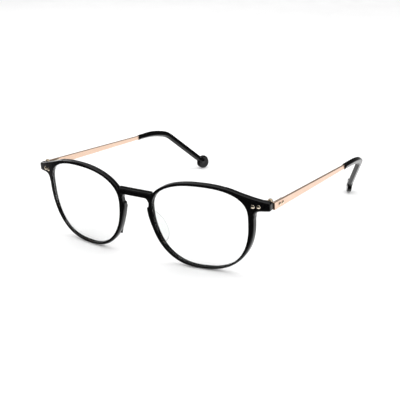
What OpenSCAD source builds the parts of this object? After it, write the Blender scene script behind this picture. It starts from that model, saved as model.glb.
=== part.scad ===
// Round-lens eyeglasses with an acetate front and slim metal temples, standing open.
//
// Frame: X to the viewer's right, Y from the front back along the temples, Z up.
// The rims and both temple tips stand on Z = 0; X = 0 is the middle of the bridge.
// Left and right are named as seen from the front.  All sizes are in millimetres.

/* [Front] */
// Forward lean of the front when the glasses stand on a table, degrees
lean = 6; // [3:0.5:9]
// Radius the front is wrapped to (face form)
face_r = 217.6; // [180:1:320]
// Thickness of the acetate front
front_t = 3.0; // [2.8:0.1:3.4]
// Middle of a lens opening, sideways from the bridge
eye_x = 32.8; // [32.4:0.1:33.2]
// Widest height of a lens opening, above the front datum
eye_z = 5.9; // [5.4:0.1:6.4]
// Opening: reach towards the nose
eye_in = 23.1; // [22.6:0.1:23.4]
// Opening: reach towards the temple
eye_out = 23.8; // [23.3:0.1:24.1]
// Opening: rise above its widest height
eye_up = 13.7; // [13.2:0.1:14.0]
// Opening: drop below its widest height
eye_down = 26.8; // [26.3:0.1:27.1]

/* [Lens] */
// Radius of the lens face
lens_r = 130; // [110:5:160]
// Thickness of the lens
lens_t = 1.2; // [1.0:0.1:1.3]
// Depth of the lens groove in the rim
groove = 0.45; // [0.3:0.05:0.5]
// Gap left round the lens in its groove
lens_gap = 0.04; // [0.02:0.01:0.06]

/* [Hinge] */
// Hinge axis, sideways from the bridge
axis_x = 64.7; // [64.5:0.1:64.9]
// Hinge axis, behind the front datum
axis_y = 11.55; // [11.5:0.05:11.8]
// Middle height of the hinge barrel, above the front datum
axis_z = 11.95; // [11.8:0.05:12.1]
// Radius of the barrel
barrel_r = 1.2; // [1.1:0.05:1.25]
// Radius of the hinge screw shank
screw_r = 0.5; // [0.4:0.05:0.55]
// Running gap between the shank and the barrel bores
run_gap = 0.02; // [0.02:0.01:0.04]

/* [Temple] */
// Length from the hinge axis to the start of the tip
strip_l = 83.2; // [76:0.2:88]
// Downward slope of the left temple when the glasses stand on a table, degrees
slope_left = 3.2; // [2.8:0.1:3.5]
// Downward slope of the right temple, degrees
slope_right = 2.5; // [2.2:0.1:3.5]
// Inward turn of the open temples, degrees
splay = 0.5; // [0:0.1:1]
// Thickness of the metal strip
strip_t = 1.2; // [1.0:0.1:1.3]
// Height of the strip at the hinge
strip_h0 = 3.7; // [3.3:0.1:3.9]
// Height of the strip where it enters the tip
strip_h1 = 2.2; // [2.0:0.1:2.6]

/* [Tip] */
// Height of the tip bar past the ear bend
tip_h = 3.2; // [3.1:0.1:3.5]
// Height of the tip bar where the metal enters it
tip_h0 = 2.8; // [2.7:0.1:3.0]
// Width of the tip bar
tip_w = 2.6; // [2.5:0.1:3.0]
// Inward turn of the ear bend, degrees
tip_turn = 31.5; // [25:0.5:33]
// Length of the drop behind the ear, from the bend to the middle of the paddle
drop_l = 29.9; // [29:0.1:33]
// Radius of the rounded paddle at the end
paddle_r = 4.0; // [3.4:0.1:4.2]
// Turn of the paddle about the drop, degrees
paddle_turn = 36; // [20:1:40]
// Ear bend of the left tip, degrees
ear_left = 30.6; // [28:0.1:36]
// Ear bend of the right tip, degrees
ear_right = 34.4; // [28:0.1:36]

/* [Hidden] */

// the front stands this far up and forward of the origin
front_y = -71.65;
front_z = 22.253;
back_d = 0.3;
front_d = front_t - back_d;

// shape exponents of an eye outline: top outer, top inner, bottom inner, bottom outer
eye_n = [2.49, 2.22, 2.22, 2.68];
rim_n = [2.4, 2.1, 2.2, 2.4];
// width of the rim at the nose, temple, top and bottom
rim_in = 2.3;
rim_out = 2.6;
rim_up = 1.55;
rim_down = 1.45;

// middle of the lens
lens_x = 33;
lens_z = -0.5;
lens_front = 3.1;
lens_tilt = asin(lens_x / face_r);

// bridge bar
bridge_lo = 10.1;
bridge_hi = 13.5;
bridge_front = 2.3;

// hinge plate on the end piece
plate_x = 59.5;
plate_y = face_r - sqrt(pow(face_r - back_d, 2) - pow(plate_x, 2));
plate_tilt = asin(plate_x / (face_r - back_d));
plate_z = 12.15;
plate_t = 0.9;
plate_in = 0.5;
plate_h = 3.2;
plate_s0 = -2.8;
plate_s1 = 3.2;
rivet_step = 1.3;
rivet_r = 0.55;
rivet_gap = 0.02;

// barrel knuckles, heights above the barrel middle
knuckle = 0.85;
knuckle_gap = 0.05;
barrel_lo = -2.35;
barrel_hi = 1.9;

// temple hinge plate
leaf_t = 0.85;
leaf_h = 2.9;
leaf_x = 0.45;
leaf_l = 9.8;
strip_x = leaf_x + leaf_t;
temple_rivets = [4.5, 7.6];
// the strip sits this far below the middle of the barrel
strip_drop = 0.65;

// tip path: straight run, soft bend, ear bend, drop
tip_run = 8.2;
soft_r = 63.7;
soft_a = 15.3;
ear_r = 13;
wire_h = 1.5;
wire_w = 0.9;
wire_gap = 0.03;
wire_drop = 16;

acetate = [0.06, 0.06, 0.07];
gold = [0.93, 0.80, 0.72];
clear = [0.85, 0.90, 0.92, 0.35];
steps = 96;

// ---------------------------------------------------------------- outlines

function power(v, e) = sign(v) * pow(abs(v), e);

// index of the quadrant a direction falls in
function quadrant(c, s) = s >= 0 ? (c >= 0 ? 0 : 1) : (c < 0 ? 2 : 3);

// egg-shaped outline with its own reach and exponent in each quadrant
function egg(inner, outer, up, down, n) = [
  for (i = [0 : steps - 1])
    let (
      c = cos(360 * i / steps),
      s = sin(360 * i / steps),
      e = 2 / n[quadrant(c, s)]
    )
    [eye_x + (c >= 0 ? outer : inner) * power(c, e), eye_z + (s >= 0 ? up : down) * power(s, e)]
];

function bezier(p, t) =
  pow(1 - t, 3) * p[0] + 3 * t * pow(1 - t, 2) * p[1] + 3 * t * t * (1 - t) * p[2] + pow(t, 3) * p[3];

function curve(p, n = 12) = [for (i = [0 : n]) bezier(p, i / n)];

module eye_outline(grow = 0) {
  polygon(egg(eye_in + grow, eye_out + grow, eye_up + grow, eye_down + grow, eye_n));
}

module rim_outline() {
  polygon(egg(eye_in + rim_in, eye_out + rim_out, eye_up + rim_up, eye_down + rim_down, rim_n));
}

// end piece, swept off the top of the rim
module end_outline() {
  polygon(concat(
    curve([[46.5, 19.8], [53, 18.0], [59, 15.2], [65.6, 14.05]]),
    curve([[65.7, 14.0], [66.4, 13.9], [66.6, 13.5], [66.6, 12.9]], 5),
    curve([[66.6, 10.9], [66.6, 10.2], [66.4, 9.85], [65.7, 9.8]], 5),
    curve([[62.3, 9.7], [60.5, 9.6], [59.5, 8.6], [59.25, 6.2]], 7),
    [[58, 4], [50, 4], [44, 17]]
  ));
}

// swelling of the nasal side of the rim, with a small step at its top
module nasal_outline() {
  polygon(concat(
    curve([[7.9, 5.9], [7.1, 5.9], [6.5, 5.7], [6.45, 5.1]], 5),
    curve([[6.5, 4.8], [6.6, 1.0], [7.9, -4.0], [12.2, -12.0]]),
    [[14, -9], [11, 5.9]]
  ));
}

// rounded flap of the nose pad, seen from the side
module pad_outline() {
  polygon(concat(
    curve([[-1, 9.6], [1.2, 9.3], [5.4, 4.0], [5.5, -2.5]]),
    curve([[5.5, -3.0], [5.4, -7.2], [3.4, -9.0], [-1, -9.2]])
  ));
}

// ---------------------------------------------------------------- placing

module in_front() {
  translate([0, front_y, front_z]) rotate([lean, 0, 0]) children();
}

// mirrored for the left side
module on_side(left) {
  mirror([left ? 1 : 0, 0, 0]) children();
}

module both() {
  children();
  mirror([1, 0, 0]) children();
}

// on the back of the end piece: X along the plate, Y away from the front
module at_plate() {
  translate([plate_x, plate_y, plate_z]) rotate([0, 0, plate_tilt]) children();
}

module at_axis() {
  translate([axis_x, axis_y, axis_z]) children();
}

// each temple is adjusted on its own, so that all four feet touch the table
function slope_of(left) = left ? slope_left : slope_right;

function ear_of(left) = left ? ear_left : ear_right;

// temple directions: Y along the strip, Z across its height
module at_temple(left) {
  at_axis() rotate([0, 0, splay]) rotate([-lean - slope_of(left), 0, 0]) children();
}

module at_strip(left) {
  at_temple(left) translate([strip_x, 0, -strip_drop]) children();
}

module at_tip(left) {
  at_strip(left) translate([strip_t / 2, strip_l, 0]) rotate([0, tip_turn, 0]) children();
}

// ---------------------------------------------------------------- building blocks

// a front-view outline carried through from y0 to y1
module through(y0, y1) {
  translate([0, y1, 0]) rotate([90, 0, 0]) linear_extrude(height = y1 - y0) children();
}

module face_shell() {
  translate([0, face_r, 0])
    difference() {
      translate([0, 0, -30]) cylinder(r = face_r + front_d, h = 60, $fn = 720);
      translate([0, 0, -31]) cylinder(r = face_r - back_d, h = 62, $fn = 720);
    }
}

module lens_shell(gap = 0) {
  y = face_r - sqrt(face_r * face_r - lens_x * lens_x) - lens_front;
  translate([lens_x - lens_r * sin(lens_tilt), y + lens_r * cos(lens_tilt), lens_z])
    difference() {
      sphere(r = lens_r + gap, $fn = 360);
      sphere(r = lens_r - lens_t - gap, $fn = 360);
    }
}

module upright(r, z0, z1) {
  translate([0, 0, z0]) cylinder(r = r, h = z1 - z0, $fn = 48);
}

module box(x0, x1, y0, y1, z0, z1) {
  translate([x0, y0, z0]) cube([x1 - x0, y1 - y0, z1 - z0]);
}

// rivet along -Y: dome on the near side, shank, flat peened end
module rivet(l, dome_r, peen_r) {
  rotate([90, 0, 0]) {
    translate([0, 0, -l]) cylinder(r = rivet_r, h = l, $fn = 36);
    intersection() {
      cylinder(r = dome_r, h = 1, $fn = 48);
      translate([0, 0, -0.7]) sphere(r = 1.2, $fn = 60);
    }
    translate([0, 0, -l - 0.25]) cylinder(r = peen_r, h = 0.25, $fn = 36);
  }
}

// middle line of the tip, as [along, up, heading]
function soft_point(h) = [tip_run + soft_r * sin(h), soft_r * (cos(h) - 1), h];

function ear_point(h) =
  [soft_point(soft_a)[0] + ear_r * (sin(h) - sin(soft_a)),
    soft_point(soft_a)[1] + ear_r * (cos(h) - cos(soft_a)), h];

function drop_point(l, ear) =
  let (h = soft_a + ear, e = ear_point(h))
  [e[0] + l * cos(h), e[1] - l * sin(h), h];

function tip_line(first, last, ear) = concat(
  [[first, 0, 0], [tip_run, 0, 0]],
  [for (i = [1 : 6]) soft_point(soft_a * i / 6)],
  [for (i = [1 : 14]) ear_point(soft_a + ear * i / 14)],
  [drop_point(last, ear)]
);

// outline of a bar of one height along the middle line, lower at its start
function bar(line, half, start) = concat(
  [for (i = [0 : len(line) - 1])
    let (p = line[i], q = i == 0 ? start : half)
    [p[0] + q * sin(p[2]), p[1] + q * cos(p[2])]],
  [for (i = [len(line) - 1 : -1 : 0])
    let (p = line[i], q = i == 0 ? start : half)
    [p[0] - q * sin(p[2]), p[1] - q * cos(p[2])]]
);

module bent_bar(first, last, ear, high, wide, start) {
  translate([-wide / 2, 0, 0]) rotate([90, 0, 90])
    linear_extrude(height = wide) polygon(bar(tip_line(first, last, ear), high / 2, start / 2));
}

// to the middle of the paddle
module at_paddle(ear) {
  end = drop_point(drop_l, ear);
  translate([0, end[0], end[1]]) rotate([-end[2], 0, 0]) rotate([0, -paddle_turn, 0]) children();
}

// ---------------------------------------------------------------- front

module bridge_bar() {
  translate([-9.4, 0, 0]) rotate([90, 0, 90])
    linear_extrude(height = 18.8)
      polygon([[-bridge_front, bridge_lo], [-bridge_front, bridge_hi - 1.3],
        [-bridge_front + 0.7, bridge_hi - 0.6], [-0.2, bridge_hi], [0.1, bridge_hi - 0.1],
        [0.1, bridge_lo + 0.4], [-0.3, bridge_lo]]);
  both()
    difference() {
      box(5.2, 9.2, -bridge_front, 0, 8.1, bridge_lo + 0.3);
      translate([5.2, 1, 8.1]) rotate([90, 0, 0]) cylinder(r = 2.1, h = 5, $fn = 60);
    }
}

module front_frame() {
  color(acetate)
    in_front()
      difference() {
        union() {
          intersection() {
            face_shell();
            both()
              through(-5, 15) {
                rim_outline();
                end_outline();
                nasal_outline();
              }
          }
          bridge_bar();
        }
        both() {
          through(-6, 16) eye_outline();
          intersection() {
            through(-6, 16) eye_outline(groove);
            lens_shell(lens_gap);
          }
          at_plate() {
            box(plate_s0 - 0.03, plate_s1 + 0.03, -plate_in, 1.5,
              -plate_h / 2 - 0.03, plate_h / 2 + 0.03);
            for (s = [-1, 1])
              translate([s * rivet_step, 2, 0]) rotate([90, 0, 0])
                cylinder(r = rivet_r + rivet_gap, h = 8, $fn = 36);
          }
        }
      }
}

module lens(left) {
  color(clear)
    in_front() on_side(left)
      intersection() {
        through(-6, 16) eye_outline(groove - lens_gap);
        lens_shell();
      }
}

module nose_pad(left) {
  color(clear)
    in_front() on_side(left)
      intersection() {
        translate([9.9, 0, -4.4]) rotate([0, -18, 0]) rotate([0, 0, -24])
          translate([-0.9, 0, 0]) rotate([90, 0, 90]) linear_extrude(height = 1.8) pad_outline();
        translate([0, face_r, -30]) cylinder(r = face_r - back_d, h = 60, $fn = 720);
      }
}

module front_hinge(left) {
  color(gold)
    in_front() on_side(left)
      difference() {
        union() {
          at_plate()
            box(plate_s0, plate_s1, -plate_in, plate_t - plate_in, -plate_h / 2, plate_h / 2);
          for (z = [[barrel_lo, -knuckle - knuckle_gap], [knuckle + knuckle_gap, barrel_hi]]) {
            at_axis() upright(barrel_r, z[0], z[1]);
            at_plate() translate([0, 0, axis_z - plate_z])
              box(plate_s1 - 0.3, plate_s1 + 2.6, 0.1, 1.35, z[0], z[1]);
          }
        }
        at_axis() upright(screw_r + run_gap, barrel_lo - 1, barrel_hi + 1);
        at_plate()
          for (s = [-1, 1])
            translate([s * rivet_step, 2, 0]) rotate([90, 0, 0])
              cylinder(r = rivet_r + rivet_gap, h = 4, $fn = 36);
      }
}

module front_rivets(left) {
  color(gold)
    in_front() on_side(left) at_plate()
      for (s = [-1, 1])
        translate([s * rivet_step, -front_t - 0.02, 0])
          rivet(front_t + plate_t - plate_in + 0.03, 0.95, 0.8);
}

module hinge_screw(left) {
  color(gold)
    in_front() on_side(left) at_axis()
      difference() {
        union() {
          upright(screw_r, barrel_lo + 0.1, barrel_hi + 0.1);
          upright(0.95, barrel_hi + 0.02, barrel_hi + 0.5);
        }
        box(-1.2, 1.2, -0.14, 0.14, barrel_hi + 0.27, barrel_hi + 1);
      }
}

// ---------------------------------------------------------------- temples

module temple_hinge(left) {
  color(gold)
    in_front() on_side(left)
      difference() {
        union() {
          at_axis() upright(barrel_r, -knuckle, knuckle);
          at_temple(left) {
            box(leaf_x, strip_x, 0, 1.6, -0.62, 0.78);
            box(leaf_x, strip_x, 1.5, leaf_l, -leaf_h / 2 - strip_drop, leaf_h / 2 - strip_drop);
          }
        }
        at_axis() upright(screw_r + run_gap, -3, 3);
        at_temple(left)
          for (y = temple_rivets)
            translate([0, y, -strip_drop]) rotate([0, 90, 0])
              cylinder(r = rivet_r + rivet_gap, h = 3, $fn = 36);
      }
}

module temple_rivets(left) {
  color(gold)
    in_front() on_side(left) at_strip(left)
      for (y = temple_rivets)
        translate([strip_t + 0.02, y, 0]) rotate([0, 0, 90])
          rivet(leaf_t + strip_t + 0.04, 0.85, 0.75);
}

module temple(left) {
  end_y = -0.6;
  cut = lean + slope_of(left);
  low = strip_drop + strip_h0 / 2;
  high = strip_drop - strip_h0 / 2;
  color(gold)
    in_front() on_side(left)
      difference() {
        union() {
          at_strip(left)
            rotate([90, 0, 90])
              linear_extrude(height = strip_t)
                polygon([
                  [(end_y + low * sin(cut)) / cos(cut), -strip_h0 / 2],
                  [strip_l - 0.5, -strip_h1 / 2],
                  [strip_l - 0.05, -strip_h1 / 2 + 0.4],
                  [strip_l - 0.05, strip_h1 / 2 - 0.4],
                  [strip_l - 0.5, strip_h1 / 2],
                  [(end_y + high * sin(cut)) / cos(cut), strip_h0 / 2]
                ]);
          at_tip(left) bent_bar(-1, wire_drop, ear_of(left), wire_h, wire_w, wire_h);
        }
        at_strip(left)
          for (y = temple_rivets)
            translate([-1, y, 0]) rotate([0, 90, 0])
              cylinder(r = rivet_r + rivet_gap, h = 3, $fn = 36);
      }
}

module tip(left) {
  ear = ear_of(left);
  color(acetate)
    in_front() on_side(left) at_tip(left)
      difference() {
        union() {
          bent_bar(0, drop_l - 1, ear, tip_h, tip_w - 0.8, tip_h0);
          bent_bar(0, drop_l - 1.3, ear, tip_h - 0.8, tip_w, tip_h0 - 0.8);
          at_paddle(ear) rotate([0, 90, 0])
            rotate_extrude($fn = 96) {
              translate([0, -tip_w / 2]) square([paddle_r - tip_w / 2, tip_w]);
              intersection() {
                translate([paddle_r - tip_w / 2, 0]) circle(r = tip_w / 2, $fn = 48);
                translate([0, -2]) square([5, 4]);
              }
            }
        }
        bent_bar(-1, wire_drop + 0.2, ear, wire_h + 2 * wire_gap, wire_w + 2 * wire_gap,
          wire_h + 2 * wire_gap);
      }
}

// ---------------------------------------------------------------- nodes

front_frame();
lens(true);  // lens_left
lens(false);  // lens_right
nose_pad(true);  // nose_pad_left
nose_pad(false);  // nose_pad_right
front_hinge(true);  // front_hinge_left
front_hinge(false);  // front_hinge_right
front_rivets(true);  // front_rivets_left
front_rivets(false);  // front_rivets_right
hinge_screw(true);  // hinge_screw_left
hinge_screw(false);  // hinge_screw_right
temple_hinge(true);  // temple_hinge_left
temple_hinge(false);  // temple_hinge_right
temple_rivets(true);  // temple_rivets_left
temple_rivets(false);  // temple_rivets_right
temple(true);  // temple_left
temple(false);  // temple_right
tip(true);  // tip_left
tip(false);  // tip_right
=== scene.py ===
import math

import bpy
import numpy as np
from mathutils import Matrix, Vector


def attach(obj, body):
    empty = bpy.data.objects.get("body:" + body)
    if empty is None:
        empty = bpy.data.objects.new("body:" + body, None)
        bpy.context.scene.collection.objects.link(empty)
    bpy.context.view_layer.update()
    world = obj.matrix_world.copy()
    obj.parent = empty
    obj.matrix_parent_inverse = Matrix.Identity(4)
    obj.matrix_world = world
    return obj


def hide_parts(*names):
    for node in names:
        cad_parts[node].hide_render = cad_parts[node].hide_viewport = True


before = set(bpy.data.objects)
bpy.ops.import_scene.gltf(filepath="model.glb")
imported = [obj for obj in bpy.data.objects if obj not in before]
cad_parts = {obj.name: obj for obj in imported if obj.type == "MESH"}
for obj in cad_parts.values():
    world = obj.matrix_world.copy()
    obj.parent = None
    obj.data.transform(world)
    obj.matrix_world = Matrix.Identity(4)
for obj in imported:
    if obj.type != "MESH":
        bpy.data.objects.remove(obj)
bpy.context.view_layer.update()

# ------------------------------------------------------------------ shared sizes, mm
# "front" coordinates: X to the right, Y back along the temples, Z up, leaning with the front
LEAN = math.radians(6)
# each temple is adjusted on its own
SLOPE = {"left": math.radians(3.2), "right": math.radians(2.5)}
EAR_A = {"left": math.radians(30.6), "right": math.radians(34.4)}
SPLAY = math.radians(0.5)
FRONT_AT = np.array([0, -71.65, 22.253])
FACE_R = 217.6
FRONT_D, BACK_D = 2.7, 0.3
EYE_X, EYE_Z = 32.8, 5.9
EYE_REACH = (23.1, 23.8, 13.7, 26.8)
EYE_N = (2.49, 2.22, 2.22, 2.68)
RIM_REACH = (25.4, 26.4, 15.25, 28.25)
RIM_N = (2.4, 2.1, 2.2, 2.4)
LENS_X, LENS_Z, LENS_R, LENS_T, LENS_FRONT = 33.0, -0.5, 130.0, 1.2, 3.1
GROOVE, LENS_GAP = 0.45, 0.04
PLATE = (59.5, FACE_R - math.sqrt((FACE_R - BACK_D) ** 2 - 59.5 ** 2), 12.15)
PLATE_TILT = math.asin(59.5 / (FACE_R - BACK_D))
AXIS = np.array([64.7, 11.55, 11.95])
BARREL_R = 1.2
STRIP_X, STRIP_T, STRIP_L, STRIP_DROP = 1.3, 1.2, 83.2, 0.65
STRIP_H0, STRIP_H1 = 3.7, 2.2
TIP_TURN = math.radians(31.5)
RIVET_STEP = 1.3
TEMPLE_RIVETS = (4.5, 7.6)

# ------------------------------------------------------------------ signed distances


def rmax(a, b, r):
    """Intersection of two solids whose shared edge is rounded to radius r."""
    return np.minimum(-r, np.maximum(a, b)) + np.hypot(np.maximum(a + r, 0), np.maximum(b + r, 0))


def smin(a, b, k):
    """Union of two solids with a fillet about k wide."""
    h = np.maximum(k - np.abs(a - b), 0) / k
    return np.minimum(a, b) - h * h * k / 4


def sd_poly(px, py, pts):
    """Signed distance to a closed polygon, negative inside."""
    px, py = np.broadcast_arrays(np.asarray(px, float), np.asarray(py, float))
    best = np.full(px.shape, 1e9)
    inside = np.zeros(px.shape, bool)
    for (ax, ay), (bx, by) in zip(pts, np.roll(pts, -1, 0)):
        ex, ey = bx - ax, by - ay
        ll = ex * ex + ey * ey
        if ll == 0:
            continue
        wx, wy = px - ax, py - ay
        t = np.clip((wx * ex + wy * ey) / ll, 0, 1)
        best = np.minimum(best, (wx - t * ex) ** 2 + (wy - t * ey) ** 2)
        if ay != by:
            inside ^= ((ay > py) != (by > py)) & (px < ex * (py - ay) / ey + ax)
    return np.where(inside, -1, 1) * np.sqrt(best)


def sd_box(x, y, z, b, r=0.0):
    """Box given as (x0, x1, y0, y1, z0, z1) with its edges rounded to r."""
    q = [np.abs(v - (lo + hi) / 2) - (hi - lo) / 2 + r
         for v, lo, hi in ((x, b[0], b[1]), (y, b[2], b[3]), (z, b[4], b[5]))]
    out = np.sqrt(sum(np.maximum(v, 0) ** 2 for v in q))
    return out + np.minimum(np.maximum(np.maximum(q[0], q[1]), q[2]), 0) - r


def sd_upright(x, y, z, r, z0, z1, soft=0.0):
    return rmax(np.hypot(x, y) - r, np.abs(z - (z0 + z1) / 2) - (z1 - z0) / 2, max(soft, 1e-6))


# ------------------------------------------------------------------ outlines


def egg(reach, n, grow=0.0, steps=216):
    inner, outer, up, down = reach
    pts = []
    for i in range(steps):
        a = 2 * math.pi * i / steps
        c, s = math.cos(a), math.sin(a)
        e = 2 / n[(0 if c >= 0 else 1) if s >= 0 else (2 if c < 0 else 3)]
        pts.append((EYE_X + ((outer if c >= 0 else inner) + grow) * math.copysign(abs(c) ** e, c),
                    EYE_Z + ((up if s >= 0 else down) + grow) * math.copysign(abs(s) ** e, s)))
    return np.array(pts)


def curve(p, n=24):
    t = np.linspace(0, 1, n + 1)[:, None]
    p = np.array(p, float)
    return (1 - t) ** 3 * p[0] + 3 * t * (1 - t) ** 2 * p[1] + 3 * t * t * (1 - t) * p[2] + t ** 3 * p[3]


EYE = egg(EYE_REACH, EYE_N)
RIM = egg(RIM_REACH, RIM_N)
END = np.vstack([
    curve([[46.5, 19.7], [53, 18.0], [59, 15.2], [65.6, 14.05]]),
    curve([[65.7, 14.0], [66.4, 13.9], [66.6, 13.5], [66.6, 12.9]], 8),
    curve([[66.6, 10.9], [66.6, 10.2], [66.4, 9.85], [65.7, 9.8]], 8),
    curve([[62.3, 9.7], [60.5, 9.6], [59.5, 8.6], [59.25, 6.2]], 12),
    [[58, 4], [50, 4], [44, 17]]])
NASAL = np.vstack([
    curve([[7.9, 5.9], [7.1, 5.9], [6.5, 5.7], [6.45, 5.1]], 8),
    curve([[6.5, 4.8], [6.6, 1.0], [7.9, -4.0], [12.2, -12.0]]),
    [[14, -9], [11, 5.9]]])
PAD = np.vstack([
    curve([[-1, 9.6], [1.2, 9.3], [5.4, 4.0], [5.5, -2.5]]),
    curve([[5.5, -3.0], [5.4, -7.2], [3.4, -9.0], [-1, -9.2]])])
BRIDGE = np.array([[2.05, 10.35], [2.05, 12.1], [1.47, 12.68], [0.22, 13.22], [0.15, 13.18],
                   [0.15, 10.6], [0.4, 10.35]])

# ------------------------------------------------------------------ meshes from fields


def surface(field, lo, hi, step):
    """Closed mesh of field(x, y, z) = 0 inside the box, by surface nets, pulled onto the field.
    Returns points, quads and outward normals."""
    axes = [np.arange(a, b + step, step) for a, b in zip(lo, hi)]
    f = field(axes[0][:, None, None], axes[1][None, :, None], axes[2][None, None, :])
    f = np.ascontiguousarray(np.broadcast_to(f, [len(a) for a in axes]))
    s = f < 0
    corners = [(i, j, k) for i in (0, 1) for j in (0, 1) for k in (0, 1)]
    n = [m - 1 for m in s.shape]
    count = sum(s[i:n[0] + i, j:n[1] + j, k:n[2] + k].astype(np.int8) for i, j, k in corners)
    active = (count > 0) & (count < 8)
    index = np.full(active.shape, -1, np.int64)
    cells = np.argwhere(active)
    index[active] = np.arange(len(cells))
    total = np.zeros((len(cells), 3))
    hits = np.zeros(len(cells))
    for a in corners:
        for b in corners:
            if sum(abs(p - q) for p, q in zip(a, b)) != 1 or a > b:
                continue
            fa = f[tuple((cells + a).T)]
            fb = f[tuple((cells + b).T)]
            cross = (fa < 0) != (fb < 0)
            t = np.where(cross, fa / np.where(cross, fa - fb, 1), 0)[:, None]
            total += np.where(cross[:, None], np.array(a) + t * (np.array(b) - np.array(a)), 0)
            hits += cross
    points = (cells + total / hits[:, None]) * step + [a[0] for a in axes]
    quads = []
    for ax in range(3):
        u, v = (ax + 1) % 3, (ax + 2) % 3
        take = [slice(None)] * 3
        take[ax] = slice(0, -1)
        nxt = [slice(None)] * 3
        nxt[ax] = slice(1, None)
        sa, sb = s[tuple(take)], s[tuple(nxt)]
        at = np.argwhere(sa != sb)
        at = at[(at[:, u] > 0) & (at[:, v] > 0) & (at[:, u] < s.shape[u] - 1) & (at[:, v] < s.shape[v] - 1)]
        inside = sa[tuple(at.T)]
        ring = []
        for du, dv in ((-1, -1), (0, -1), (0, 0), (-1, 0)):
            c = at.copy()
            c[:, u] += du
            c[:, v] += dv
            ring.append(index[tuple(c.T)])
        q = np.stack(ring, 1)
        quads.append(np.where(inside[:, None], q, q[:, ::-1]))
    quads = np.vstack(quads)

    def slope(p, h=0.02):
        return np.stack([field(*(p + e).T) - field(*(p - e).T) for e in np.eye(3) * h], 1) / (2 * h)

    for _ in range(2):  # two steps are enough
        g = slope(points)
        size = np.maximum((g ** 2).sum(1), 0.05)
        move = -(field(*points.T) / size)[:, None] * g
        length = np.maximum(np.linalg.norm(move, axis=1), 1e-9)[:, None]
        points = points + move * np.minimum(1, 0.45 * step / length)
    normals = slope(points)
    normals /= np.maximum(np.linalg.norm(normals, axis=1), 1e-9)[:, None]
    return points, quads, normals


def rx(p, a):
    c, s = math.cos(a), math.sin(a)
    p = np.asarray(p, float)
    return np.stack([p[..., 0], p[..., 1] * c - p[..., 2] * s, p[..., 1] * s + p[..., 2] * c], -1)


def ry(p, a):
    c, s = math.cos(a), math.sin(a)
    return np.stack([p[..., 0] * c + p[..., 2] * s, p[..., 1], -p[..., 0] * s + p[..., 2] * c], -1)


def rz(p, a):
    c, s = math.cos(a), math.sin(a)
    return np.stack([p[..., 0] * c - p[..., 1] * s, p[..., 0] * s + p[..., 1] * c, p[..., 2]], -1)


def from_plate(p, way=False):
    return rz(p, PLATE_TILT) + (0 if way else np.array(PLATE))


def from_temple(side):
    def place(p, way=False):
        return rz(rx(p, -LEAN - SLOPE[side]), SPLAY) + (0 if way else AXIS)
    return place


def from_strip(side):
    def place(p, way=False):
        offset = 0 if way else np.array([STRIP_X, 0, -STRIP_DROP])
        return from_temple(side)(np.asarray(p, float) + offset, way)
    return place


def from_tip(side):
    def place(p, way=False):
        q = ry(p, TIP_TURN)
        return from_strip(side)(q if way else q + [STRIP_T / 2, STRIP_L, 0], way)
    return place


def from_axis(p, way=False):
    return p + (0 if way else AXIS)


def same(p, way=False):
    return np.asarray(p, float)


def piece(name, points, faces, normals, place, node, body, mat, left=False):
    """A mesh piece given in the local coordinates that place() turns into front coordinates.
    The left one is its mirror image."""
    p = rx(place(points), LEAN) + FRONT_AT
    n = rx(place(normals, True), LEAN) if normals is not None else None
    if left:
        p = p * [-1, 1, 1]
        n = n * [-1, 1, 1] if n is not None else None
        faces = [tuple(reversed(f)) for f in faces]
    mesh = bpy.data.meshes.new(name)
    mesh.from_pydata((p / 1000).tolist(), [], [tuple(map(int, f)) for f in faces])
    mesh.update()
    mesh.shade_smooth()
    if n is not None:
        mesh.normals_split_custom_set_from_vertices(n.tolist())
    mesh.materials.append(mat)
    obj = bpy.data.objects.new(name, mesh)
    bpy.context.scene.collection.objects.link(obj)
    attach(obj, body)
    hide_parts(node)
    return obj


def lathe(profile, axis_place, seg=56):
    """Closed solid turned about Y from (radius, height) points that start and end on the axis."""
    pts, faces = [(0, profile[0][1], 0)], []
    for r, h in profile[1:-1]:
        for i in range(seg):
            a = 2 * math.pi * i / seg
            pts.append((r * math.cos(a), h, r * math.sin(a)))
    pts.append((0, profile[-1][1], 0))
    rings = len(profile) - 2
    for i in range(seg):
        j = (i + 1) % seg
        faces.append((0, 1 + i, 1 + j))
        for k in range(rings - 1):
            a, b = 1 + k * seg, 1 + (k + 1) * seg
            faces.append((a + i, b + i, b + j, a + j))
        a = 1 + (rings - 1) * seg
        faces.append((a + i, len(pts) - 1, a + j))
    return axis_place(np.array(pts, float)), faces


def merge(parts):
    pts, faces, base = [], [], 0
    for p, f in parts:
        pts.append(p)
        faces += [tuple(i + base for i in q) for q in f]
        base += len(p)
    return np.vstack(pts), faces


# ------------------------------------------------------------------ materials


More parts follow.
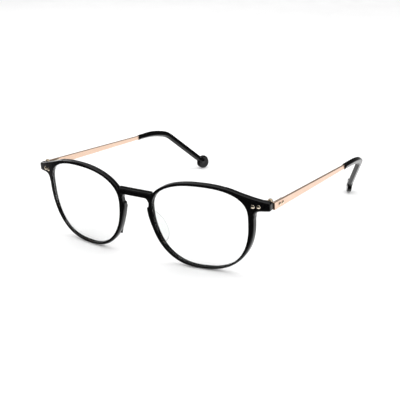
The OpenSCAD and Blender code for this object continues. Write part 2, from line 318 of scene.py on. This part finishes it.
class Nodes:
    """A small helper that builds one material's node tree."""

    def __init__(self, name):
        self.mat = bpy.data.materials.new(name)
        self.mat.use_nodes = True
        self.tree = self.mat.node_tree
        self.shader = self.tree.nodes["Principled BSDF"]
        self.coords = self.tree.nodes.new("ShaderNodeTexCoord").outputs["Object"]

    def add(self, kind):
        return self.tree.nodes.new(kind)

    def link(self, a, b):
        self.tree.links.new(a, b)

    def noise(self, scale, detail=4.0, stretch=None, rough=0.5):
        n = self.add("ShaderNodeTexNoise")
        n.inputs["Scale"].default_value = scale
        n.inputs["Detail"].default_value = detail
        n.inputs["Roughness"].default_value = rough
        src = self.coords
        if stretch:
            m = self.add("ShaderNodeMapping")
            m.inputs["Scale"].default_value = stretch
            self.link(self.coords, m.inputs["Vector"])
            src = m.outputs["Vector"]
        self.link(src, n.inputs["Vector"])
        return n.outputs["Fac"]

    def span(self, value, lo, hi, frm=(0.3, 0.7)):
        r = self.add("ShaderNodeMapRange")
        r.inputs["From Min"].default_value, r.inputs["From Max"].default_value = frm
        r.inputs["To Min"].default_value, r.inputs["To Max"].default_value = lo, hi
        self.link(value, r.inputs["Value"])
        return r.outputs["Result"]

    def mix(self, value, a, b):
        m = self.add("ShaderNodeMix")
        m.data_type = "RGBA"
        m.inputs[6].default_value = (*a, 1)
        m.inputs[7].default_value = (*b, 1)
        self.link(value, m.inputs[0])
        return m.outputs[2]

    def bump(self, value, distance, strength=1.0, after=None):
        b = self.add("ShaderNodeBump")
        b.inputs["Strength"].default_value = strength
        b.inputs["Distance"].default_value = distance
        self.link(value, b.inputs["Height"])
        if after is not None:
            self.link(after, b.inputs["Normal"])
        return b.outputs["Normal"]

    def set(self, **values):
        for k, v in values.items():
            self.shader.inputs[k.replace("_", " ")].default_value = v

    def to(self, value, socket):
        self.link(value, self.shader.inputs[socket])


def acetate(name, cloud, colors, haze, rough, wave, pores, depth, gloss):
    """Polished black plastic: faint clouds of colour, uneven gloss, slow waves and fine pores."""
    m = Nodes(name)
    m.to(m.mix(m.span(m.noise(cloud, 5, rough=0.6), 0, 1), *colors), "Base Color")
    m.to(m.span(m.noise(haze, 6, rough=0.65), *rough), "Roughness")
    slow = m.bump(m.noise(wave, 2), 0.00005, 0.22)
    m.to(m.bump(m.noise(pores, 3, rough=0.7), depth, 0.5, slow), "Normal")
    m.set(IOR=1.49, Specular_IOR_Level=gloss)
    return m.mat


def pink_gold():
    m = Nodes("pink_gold")
    # brushed along the temple
    grain = m.noise(1.0, 5, stretch=(2600, 90, 5200), rough=0.6)
    tone = m.noise(120, 3)
    m.to(m.mix(m.span(tone, 0, 1), (0.90, 0.645, 0.495), (0.925, 0.685, 0.535)), "Base Color")
    m.to(m.span(grain, 0.24, 0.36), "Roughness")
    wave = m.bump(m.noise(110, 2), 0.00004, 0.2)
    m.to(m.bump(grain, 0.000004, 0.5, wave), "Normal")
    m.set(Metallic=1.0)
    return m.mat


def gold_fittings():
    m = Nodes("gold_fittings")
    m.to(m.mix(m.span(m.noise(500, 3), 0, 1), (0.95, 0.80, 0.60), (0.98, 0.86, 0.68)), "Base Color")
    m.to(m.span(m.noise(2400, 5, rough=0.6), 0.10, 0.22), "Roughness")
    m.to(m.bump(m.noise(3600, 3), 0.000003, 0.5), "Normal")
    m.set(Metallic=1.0)
    return m.mat


def clear(name, tint, rough, ior, scale, shade, edge=None):
    """Clear plastic that lets the lamps' light through to what is behind it.
    With an edge colour, the base colour turns from the tint to that colour where the surface is seen
    edge-on: a painted dark outline that stands in for the shade at its edge."""
    m = Nodes(name)
    m.set(Base_Color=(*tint, 1), IOR=ior, Transmission_Weight=1.0)
    if edge:
        facing = m.add("ShaderNodeLayerWeight").outputs["Facing"]
        # painted shade: the base colour goes dark where the surface is seen edge-on, drawing a dark outline
        m.to(m.mix(m.span(facing, 0, 1, (0.3, 0.72)), tint, edge), "Base Color")
    m.to(m.span(m.noise(scale, 4), rough * 0.6, rough * 1.4), "Roughness")
    m.to(m.bump(m.noise(scale * 0.4, 2), 0.00002, 0.1), "Normal")
    see = m.add("ShaderNodeBsdfTransparent")
    see.inputs["Color"].default_value = (*shade, 1)
    path = m.add("ShaderNodeLightPath")
    both = m.add("ShaderNodeMixShader")
    out = m.tree.nodes["Material Output"]
    m.link(path.outputs["Is Shadow Ray"], both.inputs[0])
    m.link(m.shader.outputs[0], both.inputs[1])
    m.link(see.outputs[0], both.inputs[2])
    m.link(both.outputs[0], out.inputs["Surface"])
    return m.mat


BLACKS = ((0.0012, 0.0012, 0.0015), (0.0024, 0.0022, 0.0023))
ACETATE = acetate("black_acetate", 420, BLACKS, 900, (0.07, 0.13), 130, 5200, 0.0000015, 0.5)
TIPS = acetate("tip_acetate", 380, BLACKS, 1100, (0.10, 0.18), 120, 4600, 0.000002, 0.4)
PINK, GOLD = pink_gold(), gold_fittings()
LENS = clear("clear_lens", (0.985, 0.992, 0.99), 0.02, 1.5, 300, (0.96, 0.97, 0.97))
# the pads' last colour, near black, is a painted dark outline along their edges
PADS = clear("clear_pad", (0.93, 0.95, 0.94), 0.05, 1.49, 700, (0.92, 0.93, 0.92),
             (0.02, 0.02, 0.02))

# ------------------------------------------------------------------ acetate front


def curved_y(x, n):
    """Front Y of a point n in front of the face cylinder."""
    return FACE_R - np.sqrt((FACE_R + n) ** 2 - x * x)


LENS_TILT = math.asin(LENS_X / FACE_R)
LENS_C = np.array([
    LENS_X - LENS_R * math.sin(LENS_TILT),
    FACE_R - math.sqrt(FACE_R ** 2 - LENS_X ** 2) - LENS_FRONT + LENS_R * math.cos(LENS_TILT),
    LENS_Z])


def front_field(x, n, z):
    a = np.abs(x)
    y = curved_y(x, n)
    f = -y
    eye = sd_poly(a, z, EYE)
    out = smin(smin(sd_poly(a, z, RIM), sd_poly(a, z, END), 0.6), sd_poly(a, z, NASAL), 0.2)
    body = rmax(rmax(out, n - FRONT_D, 0.75), -BACK_D - n, 0.5)
    bar = np.maximum(sd_poly(f, z, BRIDGE) - 0.25, a - 9.2)
    web = np.maximum(np.maximum(np.maximum(5.2 - a, 8.1 - z), 2.1 - np.hypot(a - 5.2, z - 8.1)),
                     np.maximum(z - 10.6, a - 9.2))
    web = rmax(rmax(web, f - 2.3, 0.4), -f - 0.02, 0.3)
    body = smin(body, smin(bar, web, 0.25), 0.22)
    body = rmax(body, -eye, 0.34)
    ball = np.sqrt((a - LENS_C[0]) ** 2 + (y - LENS_C[1]) ** 2 + (z - LENS_C[2]) ** 2)
    slot = np.abs(ball - (LENS_R - LENS_T / 2)) - (LENS_T / 2 + LENS_GAP)
    body = np.maximum(body, -np.maximum(slot, eye - GROOVE))
    c, s = math.cos(PLATE_TILT), math.sin(PLATE_TILT)
    dx, dy = a - PLATE[0], y - PLATE[1]
    px, py, pz = dx * c + dy * s, -dx * s + dy * c, z - PLATE[2]
    body = np.maximum(body, -sd_box(px, py, pz, (-2.84, 3.24, -0.5, 1.8, -1.64, 1.64)))
    for side in (-1, 1):
        body = np.maximum(body, 0.57 - np.hypot(px - side * RIVET_STEP, pz))
    return body


FRONT_STEP = 0.2
pts, quads, nrm = surface(front_field, (-68, -0.9, -24), (68, 3.3, 22.6), FRONT_STEP)
front_pts = np.stack([pts[:, 0], curved_y(pts[:, 0], pts[:, 1]), pts[:, 2]], 1)
# turn the normals from (x, out, z) into front coordinates
dydx = pts[:, 0] / np.sqrt((FACE_R + pts[:, 1]) ** 2 - pts[:, 0] ** 2)
dydn = -(FACE_R + pts[:, 1]) / np.sqrt((FACE_R + pts[:, 1]) ** 2 - pts[:, 0] ** 2)
front_nrm = np.stack([nrm[:, 0] - nrm[:, 1] * dydx / dydn, nrm[:, 1] / dydn, nrm[:, 2]], 1)
front_nrm /= np.linalg.norm(front_nrm, axis=1)[:, None]
piece("acetate_front", front_pts, quads[:, ::-1], front_nrm, same,
      "front_frame", "front", ACETATE)

# ------------------------------------------------------------------ lenses


def lens_mesh(rings=26, seg=256):
    """Two spherical faces and a vee edge that sits in the rim's groove."""
    full = egg(EYE_REACH, EYE_N, GROOVE - LENS_GAP, seg)
    small = egg(EYE_REACH, EYE_N, 0.02, seg)
    mid = np.array([EYE_X, EYE_Z])

    def face(outline, r):
        x, z = outline[:, 0], outline[:, 1]
        y = LENS_C[1] - np.sqrt(r * r - (x - LENS_C[0]) ** 2 - (z - LENS_C[2]) ** 2)
        return np.stack([x, y, z], 1)

    shares = np.sin(np.linspace(0, math.pi / 2, rings + 1))[1:]
    layers = [face(mid + (small - mid) * s, LENS_R) for s in shares]
    vee = [(0.45, 0.22), (0.85, 0.42), (1.0, 0.5), (0.85, 0.58), (0.45, 0.78)]
    layers += [face(small + (full - small) * g, LENS_R - LENS_T * d) for g, d in vee]
    layers += [face(mid + (small - mid) * s, LENS_R - LENS_T) for s in shares[::-1]]
    points = [face(mid[None], LENS_R)] + layers + [face(mid[None], LENS_R - LENS_T)]
    faces = []
    for i in range(seg):
        j = (i + 1) % seg
        faces.append((0, 1 + i, 1 + j))
        for k in range(len(layers) - 1):
            a, b = 1 + k * seg, 1 + (k + 1) * seg
            faces.append((a + i, b + i, b + j, a + j))
        a = 1 + (len(layers) - 1) * seg
        faces.append((a + j, a + i, 1 + len(layers) * seg))
    points = np.vstack(points)
    normal = points - LENS_C
    normal /= np.linalg.norm(normal, axis=1)[:, None]
    first_back = 1 + (len(shares) + len(vee)) * seg
    normal[first_back:] *= -1
    # across the edge the normal turns from the front face to the back face
    away = small - np.roll(small, 1, 0)
    away = np.stack([away[:, 1], np.zeros(seg), -away[:, 0]], 1)
    away /= np.linalg.norm(away, axis=1)[:, None]
    for k, (g, d) in enumerate(vee):
        a = 1 + (len(shares) + k) * seg
        lean = (0.5 - d) * 1.6
        normal[a:a + seg] = away + normal[a:a + seg] * lean
    normal /= np.linalg.norm(normal, axis=1)[:, None]
    return points, faces, normal


lens_points, lens_faces, lens_normals = lens_mesh()

# ------------------------------------------------------------------ nose pads


PAD_X, PAD_Z, PAD_HALF = 9.9, -4.4, 0.9
PAD_LEAN, PAD_OPEN = math.radians(-18), math.radians(-24)


def pad_field(x, y, z):
    """Rounded flap on the back of the rim; x, y, z are front coordinates."""
    a, b = PAD_LEAN, PAD_OPEN
    dx, dz = x - PAD_X, z - PAD_Z
    u, w = dx * math.cos(a) - dz * math.sin(a), dx * math.sin(a) + dz * math.cos(a)
    p, q = u * math.cos(b) + y * math.sin(b), -u * math.sin(b) + y * math.cos(b)
    flap = rmax(sd_poly(q, w, PAD), np.abs(p) - PAD_HALF, 0.75)
    behind = FACE_R - BACK_D - np.hypot(x, y - FACE_R)
    return np.maximum(flap, -behind + 0.01)


# ------------------------------------------------------------------ hinges


def at_plate(x, y, z):
    c, s = math.cos(PLATE_TILT), math.sin(PLATE_TILT)
    dx, dy = x - PLATE[0], y - PLATE[1]
    return dx * c + dy * s, -dx * s + dy * c, z - PLATE[2]


def front_hinge_field(x, y, z):
    px, py, pz = at_plate(x, y, z)
    ax, ay, az = x - AXIS[0], y - AXIS[1], z - AXIS[2]
    body = sd_box(px, py, pz, (-2.8, 3.2, -0.5, 0.4, -1.6, 1.6), 0.16)
    pz = pz - (AXIS[2] - PLATE[2])
    for z0, z1 in ((-2.35, -0.9), (0.9, 1.9)):
        body = smin(body, smin(sd_upright(ax, ay, az, BARREL_R, z0, z1, 0.14),
                               sd_box(px, py, pz, (2.9, 5.8, 0.1, 1.35, z0, z1), 0.14), 0.2), 0.15)
    return np.maximum(body, 0.52 - np.hypot(ax, ay))


def temple_hinge_field(x, y, z):
    """x, y, z are temple coordinates, with the hinge pin leaning by the temple's slope."""
    t = LEAN + (SLOPE["left"] + SLOPE["right"]) / 2
    ay, az = y * math.cos(t) + z * math.sin(t), -y * math.sin(t) + z * math.cos(t)
    body = sd_upright(x, ay, az, BARREL_R, -0.85, 0.85, 0.12)
    arm = sd_box(x, y, z, (0.45, 1.3, 0, 1.9, -0.62, 0.78), 0.1)
    leaf = sd_box(x, y, z, (0.45, 1.3, 1.5, 9.8, -1.45 - STRIP_DROP, 1.45 - STRIP_DROP), 0.2)
    body = smin(smin(body, arm, 0.12), leaf, 0.2)
    return np.maximum(body, 0.52 - np.hypot(x, ay))


def screw_field(x, y, z):
    """Slotted screw; x, y, z from the middle of the barrel."""
    shank = sd_upright(x, y, z, 0.5, -2.25, 2.0, 0.08)
    head = sd_upright(x, y, z, 0.95, 1.92, 2.4, 0.17)
    return np.maximum(np.minimum(shank, head), -sd_box(x, y, z, (-1.4, 1.4, -0.14, 0.14, 2.17, 4), 0.02))


def rivet(length, dome_r, peen_r):
    """Profile of a rivet: dome at the near end, shank, peened far end."""
    r = 1.2
    top = math.sqrt(r * r - dome_r * dome_r) - 0.7
    prof = [(0, -(r - 0.7))]
    for i in range(1, 10):
        q = dome_r * 0.94 * math.sin(i / 9 * math.pi / 2)
        prof.append((q, -(math.sqrt(r * r - q * q) - 0.7)))
    prof += [(dome_r * 0.985, -top - 0.03), (dome_r, -top + 0.015), (dome_r * 0.985, 0.0),
             (0.56, 0.0), (0.55, 0.02), (0.55, length - 0.02), (0.56, length),
             (peen_r * 0.96, length), (peen_r, length + 0.05),
             (peen_r * 0.97, length + 0.14), (peen_r * 0.85, length + 0.21), (peen_r * 0.6, length + 0.245),
             (0, length + 0.25)]
    return prof


def front_rivets():
    parts = []
    for side in (-1, 1):
        at = np.array([side * RIVET_STEP, -3.02, 0])
        parts.append(lathe(rivet(3.43, 0.95, 0.8), lambda p, at=at: p + at))
    return merge(parts)


def temple_rivets():
    parts = []
    for y in TEMPLE_RIVETS:
        at = np.array([STRIP_T + 0.02, y, 0])
        parts.append(lathe(rivet(2.09, 0.85, 0.75), lambda p, at=at: rz(p, math.pi / 2) + at))
    return merge(parts)


# ------------------------------------------------------------------ temples


def strip_mesh(side):
    """Tapered flat strip with softened edges, cut square to the floor at the hinge.
    Local coordinates of the strip: X through its thickness, Y along it, Z up."""
    cut = LEAN + SLOPE[side]
    r, arc = 0.24, 5

    def section(half_w, half_h, rad):
        out = []
        for sx, sz, a0 in ((1, 1, 0), (-1, 1, 90), (-1, -1, 180), (1, -1, 270)):
            for i in range(arc + 1):
                a = math.radians(a0 + 90 * i / arc)
                out.append((sx * (half_w - rad), sz * (half_h - rad), math.cos(a), math.sin(a), rad))
        return [(x + rad * c, z + rad * q, c, q) for x, z, c, q, rad in out]

    def half_h(y):
        return (STRIP_H0 + (STRIP_H1 - STRIP_H0) * y / STRIP_L) / 2

    pts, nrm = [], []

    def row(inset, rad, along, tip_out):
        """One section; tip_out is how far its normals lean out of the end."""
        for w, h, c, q in section(STRIP_T / 2 - inset, half_h(max(along(0), 0)) - inset, rad):
            pts.append((w, along(h), h))
            k = math.sqrt(max(1 - tip_out * tip_out, 0))
            nrm.append((c * k, tip_out, q * k))

    def start(back):
        return lambda h: (-0.6 + back - (h - STRIP_DROP) * math.sin(cut)) / math.cos(cut)

    row(0.62 * STRIP_T / 2, 0.05, start(0), -1)
    for i in range(5):
        a = math.pi / 2 * i / 4
        row(r * (1 - math.sin(a)), max(r * math.sin(a), 0.06), start(r * (1 - math.cos(a))), -math.cos(a))
    for y in np.linspace(1.2, STRIP_L - 1.2, 52):
        row(0, r, lambda h, y=y: y, 0)
    for i in range(1, 6):
        a = math.pi / 2 * i / 5
        q = 0.4
        row(q * (1 - math.cos(a)) * 0.6, max(r * math.cos(a), 0.06),
            lambda h, a=a: STRIP_L - 0.05 - q * (1 - math.sin(a)), math.sin(a))
    pts, nrm = np.array(pts), np.array(nrm)
    pts[:, 0] += STRIP_T / 2
    n = 4 * (arc + 1)
    rows = len(pts) // n
    faces = [tuple(range(n))]
    for k in range(rows - 1):
        for i in range(n):
            j = (i + 1) % n
            a, b = k * n, (k + 1) * n
            faces.append((a + i, b + i, b + j, a + j))
    faces.append(tuple(reversed(range((rows - 1) * n, rows * n))))
    return pts, faces, nrm


SOFT_R, SOFT_A, EAR_R, RUN = 63.7, math.radians(15.3), 13.0, 8.2
DROP, PADDLE_R, PADDLE_TURN = 29.9, 4.0, math.radians(36)
TIP_HALF_W, TIP_HALF0, TIP_HALF = 1.3, 1.4, 1.6


def tip_point(kind, v, side):
    if kind == "soft":
        return np.array([RUN + SOFT_R * math.sin(v), SOFT_R * (math.cos(v) - 1)])
    e = tip_point("soft", SOFT_A, side)
    if kind == "ear":
        return e + EAR_R * np.array([math.sin(v) - math.sin(SOFT_A), math.cos(v) - math.cos(SOFT_A)])
    h = SOFT_A + EAR_A[side]
    return tip_point("ear", h, side) + v * np.array([math.cos(h), -math.sin(h)])


def tip_line(last, side):
    line = [np.array([-2.0, 0.0]), np.array([0.0, 0.0]), np.array([RUN, 0.0])]
    line += [tip_point("soft", SOFT_A * i / 16, side) for i in range(1, 17)]
    line += [tip_point("ear", SOFT_A + EAR_A[side] * i / 24, side) for i in range(1, 25)]
    return np.array(line + [tip_point("drop", last, side)])


def paddle_outline():
    pts = []
    for i in range(120):
        a = 2 * math.pi * i / 120
        c, s = math.cos(a), math.sin(a)
        pts.append((PADDLE_R * c, 1.02 * PADDLE_R * s * (1 - 0.11 * c)))
    return np.array(pts)


PADDLE = paddle_outline()


def tip_field(side):
    """Field of a tip: x across the bar, y along it, z up, from where the metal enters it."""
    line = tip_line(DROP - 1.6, side)
    runs = np.concatenate([[0], np.cumsum(np.linalg.norm(np.diff(line, axis=0), axis=1))])
    heel = tip_point("drop", DROP, side)
    h = SOFT_A + EAR_A[side]
    c, s = math.cos(PADDLE_TURN), math.sin(PADDLE_TURN)

    def field(x, y, z):
        y2, z2 = np.broadcast_arrays(y, z)
        best = np.full(y2.shape, 1e9)
        where = np.zeros(y2.shape)
        for a, b, start in zip(line[:-1], line[1:], runs[:-1]):
            e = b - a
            size = math.hypot(*e)
            t = np.clip(((y2 - a[0]) * e[0] + (z2 - a[1]) * e[1]) / size ** 2, 0, 1)
            d = np.hypot(y2 - a[0] - t * e[0], z2 - a[1] - t * e[1])
            near = d < best
            best = np.where(near, d, best)
            where = np.where(near, start + t * size, where)
        grow = np.clip((where - 2) / 15, 0, 1)
        half = TIP_HALF0 + (TIP_HALF - TIP_HALF0) * grow * grow * (3 - 2 * grow)
        bar = rmax(best - half, np.abs(x) - TIP_HALF_W, 0.58)
        bar = rmax(bar, -y, 0.22)
        dy, dz = y - heel[0], z - heel[1]
        u, w = dy * math.cos(h) - dz * math.sin(h), dy * math.sin(h) + dz * math.cos(h)
        p, q = x * c + w * s, -x * s + w * c
        paddle = rmax(sd_poly(u, q, PADDLE), np.abs(p) - TIP_HALF_W, 0.8)
        return smin(bar, paddle, 1.0)
    return field


# ------------------------------------------------------------------ put together
pad = surface(pad_field, (5.2, -0.6, -15.6), (15.6, 8.2, 6.6), 0.13)
plate = surface(front_hinge_field, (55.8, 7.0, 9.0), (66.4, 13.4, 14.8), 0.07)
leaf = surface(temple_hinge_field, (-1.5, -1.5, -2.5), (1.6, 10.2, 1.8), 0.07)
screw = surface(screw_field, (-1.1, -1.1, -2.5), (1.1, 1.1, 3.0), 0.05)
tips = {s: surface(tip_field(s), (-5.4, -0.4, -34), (5.4, 58, 2.4), 0.24)
        for s in ("left", "right")}
domes, temple_domes = front_rivets(), temple_rivets()

for side in ("left", "right"):
    left = side == "left"
    arm = side + "_temple"
    piece("lens_blank_" + side, lens_points, lens_faces, lens_normals, same,
          "lens_" + side, "front", LENS, left)
    piece("pad_flap_" + side, pad[0], pad[1], pad[2], same,
          "nose_pad_" + side, "front", PADS, left)
    piece("hinge_plate_" + side, plate[0], plate[1], plate[2], same,
          "front_hinge_" + side, "front", GOLD, left)
    piece("rivet_pair_" + side, domes[0], domes[1], None, from_plate,
          "front_rivets_" + side, "front", GOLD, left)
    piece("barrel_screw_" + side, screw[0], screw[1], screw[2], from_axis,
          "hinge_screw_" + side, "front", GOLD, left)
    piece("hinge_leaf_" + side, leaf[0], leaf[1], leaf[2], from_temple(side),
          "temple_hinge_" + side, arm, GOLD, left)
    piece("leaf_rivets_" + side, temple_domes[0], temple_domes[1], None, from_strip(side),
          "temple_rivets_" + side, arm, GOLD, left)
    strip, tip = strip_mesh(side), tips[side]
    piece("temple_strip_" + side, strip[0], strip[1], strip[2], from_strip(side),
          "temple_" + side, arm, PINK, left)
    piece("tip_sleeve_" + side, tip[0], tip[1], tip[2], from_tip(side),
          "tip_" + side, arm, TIPS, left)

# ------------------------------------------------------------------ floor, light, camera

# brightness of the soft light, and of what reflections see
OPEN_SKY, TABLE_GLOW, WALL_GLOW, ROOM_GLOW, CEILING_GLOW = 1.12, 1.1, 0.4, 0.03, 0.2
ACROSS = (0.852, 0.523, 0)  # level, and parallel to the picture's width
FOCAL_MM, SENSOR_MM = 76.446, 36.0
CAMERA_AT = (0.22487, -0.38211, 0.16066)


def floor():
    size, n = 3.0, 24
    spots = [size * (2 * i / n - 1) for i in range(n + 1)]
    pts = [(x, y, -0.00002) for x in spots for y in spots]
    faces = [(i * (n + 1) + j, (i + 1) * (n + 1) + j, (i + 1) * (n + 1) + j + 1, i * (n + 1) + j + 1)
             for i in range(n) for j in range(n)]
    mesh = bpy.data.meshes.new("floor")
    mesh.from_pydata(pts, [], faces)
    m = Nodes("floor_white")
    m.to(m.mix(m.span(m.noise(6, 3), 0, 1), (0.90, 0.90, 0.90), (0.93, 0.93, 0.93)), "Base Color")
    m.to(m.span(m.noise(40, 4), 0.4, 0.55), "Roughness")
    m.set(Specular_IOR_Level=0.15)
    mesh.materials.append(m.mat)
    obj = bpy.data.objects.new("floor", mesh)
    bpy.context.scene.collection.objects.link(obj)
    obj.visible_glossy = False


def softbox(name, at, across, size, size_y, power):
    """Area lamp aimed at the object, its long side along the direction across."""
    data = bpy.data.lights.new(name, "AREA")
    data.shape, data.size, data.size_y, data.energy = "RECTANGLE", size, size_y, power
    obj = bpy.data.objects.new(name, data)
    bpy.context.scene.collection.objects.link(obj)
    back = (Vector(at) - Vector((0, 0, 0.02))).normalized()
    side = (Vector(across) - Vector(across).dot(back) * back).normalized()
    up = back.cross(side)
    obj.matrix_world = Matrix((
        (side.x, up.x, back.x, at[0]),
        (side.y, up.y, back.y, at[1]),
        (side.z, up.z, back.z, at[2]),
        (0, 0, 0, 1)))


def sky():
    """White all round for the soft light. In reflections: a white table behind, a dark
    room above it with a paler wall to the back left, and darkness low in front."""
    world = bpy.data.worlds.new("studio")
    bpy.context.scene.world = world
    world.use_nodes = True
    t = world.node_tree
    bg = t.nodes["Background"]
    sep = t.nodes.new("ShaderNodeSeparateXYZ")
    t.links.new(t.nodes.new("ShaderNodeTexCoord").outputs["Generated"], sep.inputs[0])

    def ramp(axis, start, end, lo, hi):
        n = t.nodes.new("ShaderNodeMapRange")
        n.interpolation_type = "SMOOTHSTEP"
        for k, v in zip(("From Min", "From Max", "To Min", "To Max"), (start, end, lo, hi)):
            n.inputs[k].default_value = v
        t.links.new(sep.outputs[axis], n.inputs["Value"])
        return n.outputs["Result"]

    def math_node(kind, a, b):
        n = t.nodes.new("ShaderNodeMath")
        n.operation = kind
        t.links.new(a, n.inputs[0])
        t.links.new(b, n.inputs[1])
        return n.outputs[0]

    table = math_node("MULTIPLY", ramp("Z", -0.16, 0.04, 1, 0), ramp("Y", -0.32, 0.12, 0, TABLE_GLOW))
    wall = math_node("MULTIPLY", ramp("X", -0.75, 0.2, WALL_GLOW, 0), ramp("Y", 0.1, 0.8, 0, 1))
    ceiling = ramp("Z", 0.45, 0.95, ROOM_GLOW, CEILING_GLOW)
    near = ramp("Z", -0.74, -0.58, TABLE_GLOW, 0)
    seen = math_node("ADD", math_node("ADD", math_node("MAXIMUM", table, near), wall), ceiling)
    path = t.nodes.new("ShaderNodeLightPath")
    mix = t.nodes.new("ShaderNodeMix")
    mix.data_type = "FLOAT"
    mix.inputs[2].default_value = OPEN_SKY
    t.links.new(math_node("MAXIMUM", path.outputs["Is Glossy Ray"], path.outputs["Is Transmission Ray"]),
                mix.inputs[0])
    t.links.new(seen, mix.inputs[3])
    t.links.new(mix.outputs[0], bg.inputs["Strength"])
    bg.inputs["Color"].default_value = (1, 1, 1, 1)


floor()
sky()
softbox("top", (0.0, 0.02, 0.9), ACROSS, 1.8, 0.4, 3.6)
softbox("left", (-0.85, 0.25, 0.45), (0, 1, 0), 0.5, 0.35, 1.2)
softbox("right", (0.9, -0.35, 0.6), (0, 1, 0), 0.4, 0.4, 0.9)

# camera: where the object was seen from
AZ, EL, ROLL = math.radians(31.55), math.radians(19.01), math.radians(-0.72)
back = Vector((math.sin(AZ) * math.cos(EL), -math.cos(AZ) * math.cos(EL), math.sin(EL)))
right = Vector((math.cos(AZ), math.sin(AZ), 0))
up = right.cross(-back)
x_axis = math.cos(ROLL) * right + math.sin(ROLL) * up
y_axis = -math.sin(ROLL) * right + math.cos(ROLL) * up
camera = bpy.data.objects.new("camera", bpy.data.cameras.new("camera"))
bpy.context.scene.collection.objects.link(camera)
camera.data.sensor_width = SENSOR_MM
camera.data.lens = FOCAL_MM
camera.data.clip_start, camera.data.clip_end = 0.02, 20
camera.matrix_world = Matrix((
    (x_axis.x, y_axis.x, back.x, CAMERA_AT[0]),
    (x_axis.y, y_axis.y, back.y, CAMERA_AT[1]),
    (x_axis.z, y_axis.z, back.z, CAMERA_AT[2]),
    (0, 0, 0, 1)))
bpy.context.scene.camera = camera
bpy.context.scene.view_settings.view_transform = "Standard"
